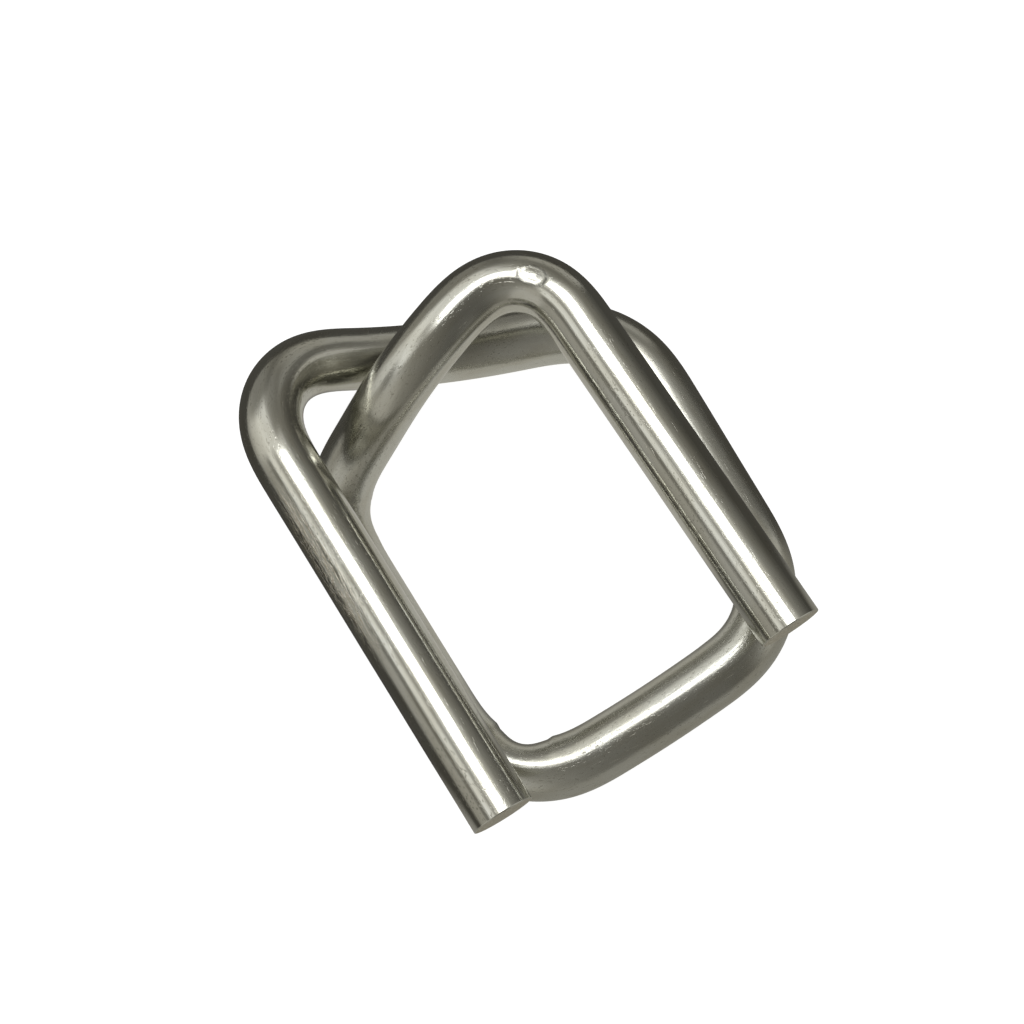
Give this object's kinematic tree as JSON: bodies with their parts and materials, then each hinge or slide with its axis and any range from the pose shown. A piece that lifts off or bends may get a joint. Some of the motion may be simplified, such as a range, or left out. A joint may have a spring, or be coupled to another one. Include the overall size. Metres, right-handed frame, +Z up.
{
  "type": "strapping buckle",
  "caption": "Wire strapping buckle: a round wire bent into a lower loop with crossing arms at the back and open prongs above, so strap loops hook on and lock.",
  "frame": {"origin": "middle of the buckle's outline, on the surface that its lower loop lies on", "axes": "+X across the bars to the right, +Y to the crossing arms at the back, +Z up from the lower loop to the prongs"},
  "size_m": [0.0407, 0.051, 0.018],
  "materials": {
    "zinc_plate": "bright zinc plate with a faint olive tint, fine draw marks along the wire and light scuffs"
  },
  "bodies": {
    "root": {"wire_buckle": "zinc_plate"}
  },
  "joints": []
}
